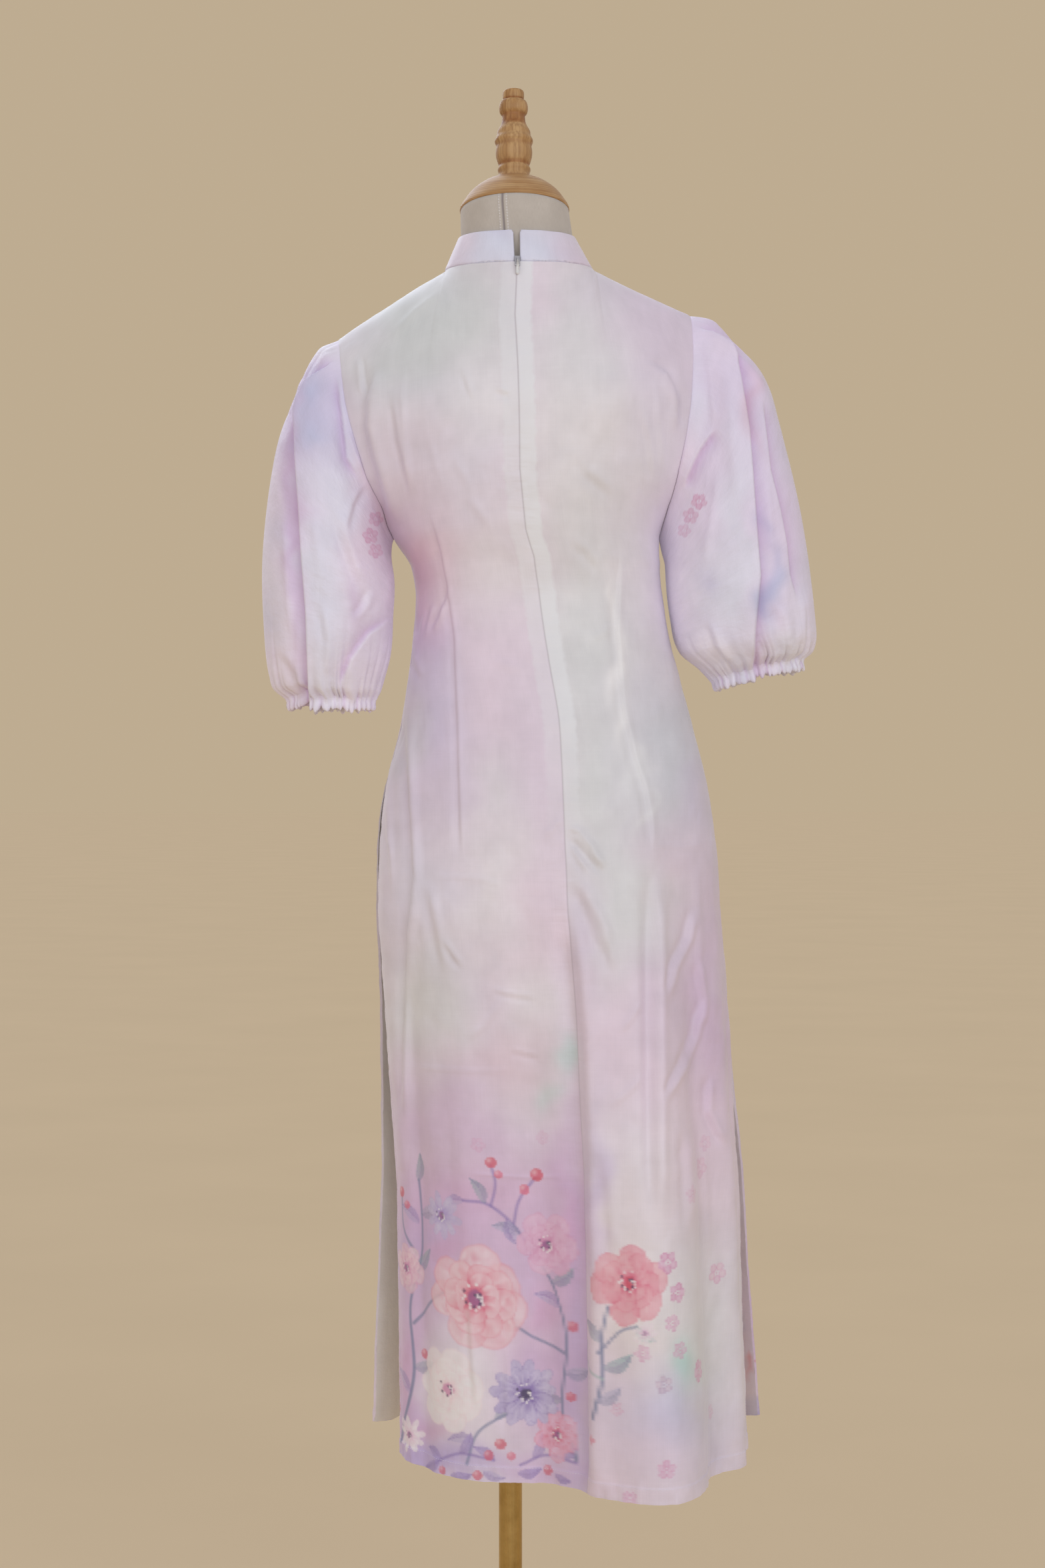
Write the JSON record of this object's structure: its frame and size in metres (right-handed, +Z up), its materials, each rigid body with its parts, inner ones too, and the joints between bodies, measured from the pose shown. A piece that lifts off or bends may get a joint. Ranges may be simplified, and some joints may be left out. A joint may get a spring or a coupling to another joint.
{
  "type": "ao dai tunic on a dress form stand",
  "caption": "Long ao dai tunic with a standing collar, puff sleeves, back zip and slit skirt, worn by a limbless dress form with a wooden cap on a brass pole and round base.",
  "frame": {"origin": "centre of the underside of the stand's base, on the floor", "axes": "+Z up, +Y towards the garment's back and its zip, +X towards the wearer's left"},
  "size_m": [0.5382, 0.3427, 1.5664],
  "materials": {
    "printed_cloth": "thin satin-faced cloth with a pastel wash and a printed floral hem",
    "collar_cloth": "the same cloth, interfaced",
    "form_jersey": "matt greige knitted cover",
    "varnished_wood": "turned, glossy honey-coloured varnish",
    "brass": "polished",
    "zip_nickel": "nickel plated"
  },
  "bodies": {
    "tunic_and_stand": {"back_left": "printed_cloth", "back_right": "printed_cloth", "front": "printed_cloth", "collar": "collar_cloth", "sleeve_left": "printed_cloth", "sleeve_right": "printed_cloth", "cuff_left": "printed_cloth", "cuff_right": "printed_cloth", "zip_slider": "zip_nickel", "dress_form": "form_jersey", "neck_cap": "varnished_wood", "finial": "varnished_wood", "pole": "brass", "base": "brass"},
    "zip_pull": {"zip_pull": "zip_nickel"}
  },
  "joints": [
    {"name": "zip_pull_hinge", "type": "hinge", "parent": "tunic_and_stand", "child": "zip_pull", "pos_m": [-0.00182, 0.0686, 1.3832], "axis": [1, 0, 0], "range_deg": [0, 160]}
  ]
}
